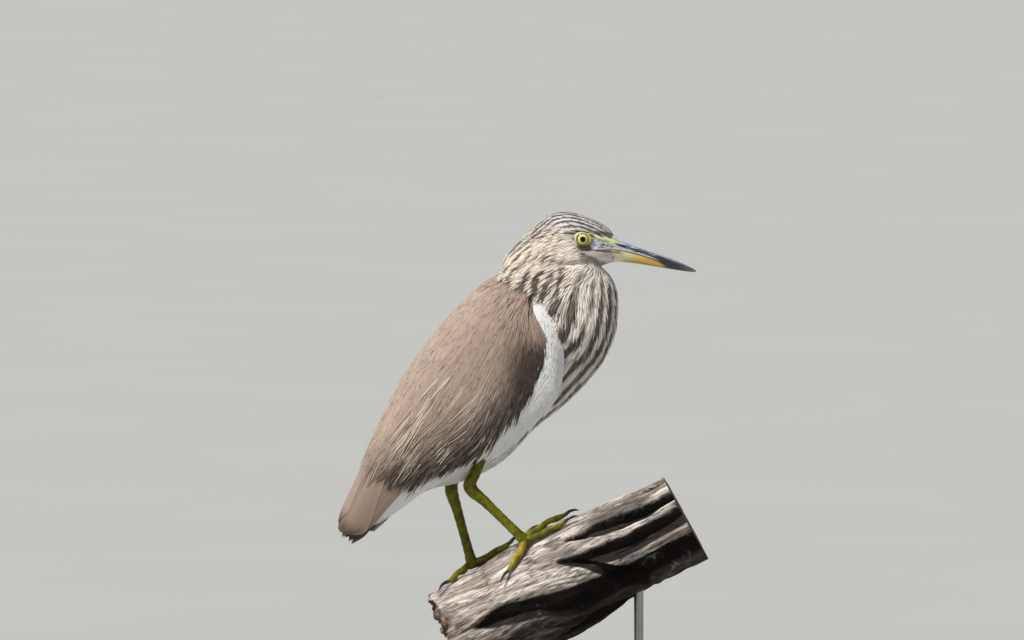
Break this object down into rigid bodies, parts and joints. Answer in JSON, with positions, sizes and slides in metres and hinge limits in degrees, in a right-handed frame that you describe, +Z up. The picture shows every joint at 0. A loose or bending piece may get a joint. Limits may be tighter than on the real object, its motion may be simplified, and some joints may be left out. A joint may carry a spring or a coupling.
{
  "type": "pond heron",
  "caption": "Still, life-size model of a hunched pond heron in winter plumage, gripping a sloping length of dead branch that two rods hold over a flat base.",
  "frame": {"origin": "middle of the underside of the stand's base, on the floor", "axes": "+X is the way the bird faces, +Y its left side, +Z up"},
  "size_m": [0.2721, 0.15, 0.3784],
  "materials": {
    "feathers_brown": "mauve-brown back feathers, hair-like, with pale shaft streaks, white coverts below",
    "feathers_streaked": "cream-buff feathers with dark brown streaks",
    "feathers_white": "white belly and tail feathers, breast striped dark brown",
    "bill_slate": "slate-grey horn, satin",
    "bill_yellow": "ochre-yellow horn with a dark tip, satin",
    "eye": "wet yellow iris with a black pupil",
    "leg_skin": "olive-green scaled skin",
    "claw_horn": "dark horn, satin",
    "dead_wood": "weathered grey-brown dead wood, furrowed",
    "stand_wood": "dark stained wood, satin",
    "rod_steel": "brushed"
  },
  "bodies": {
    "root": {"torso": "feathers_white", "neck": "feathers_streaked", "head": "feathers_streaked", "bill_upper": "bill_slate", "bill_lower": "bill_yellow", "tail": "feathers_white", "perch": "dead_wood", "stand_base": "stand_wood", "stand_rod_lower": "rod_steel", "stand_rod_upper": "rod_steel", "wing_right": "feathers_brown", "eye_right": "eye", "foot_right": "leg_skin", "shank_right": "leg_skin", "thigh_right": "leg_skin", "claw_right_inner": "claw_horn", "claw_right_middle": "claw_horn", "claw_right_outer": "claw_horn", "claw_right_hind": "claw_horn", "wing_left": "feathers_brown", "eye_left": "eye", "foot_left": "leg_skin", "shank_left": "leg_skin", "thigh_left": "leg_skin", "claw_left_inner": "claw_horn", "claw_left_middle": "claw_horn", "claw_left_outer": "claw_horn", "claw_left_hind": "claw_horn"}
  },
  "joints": []
}
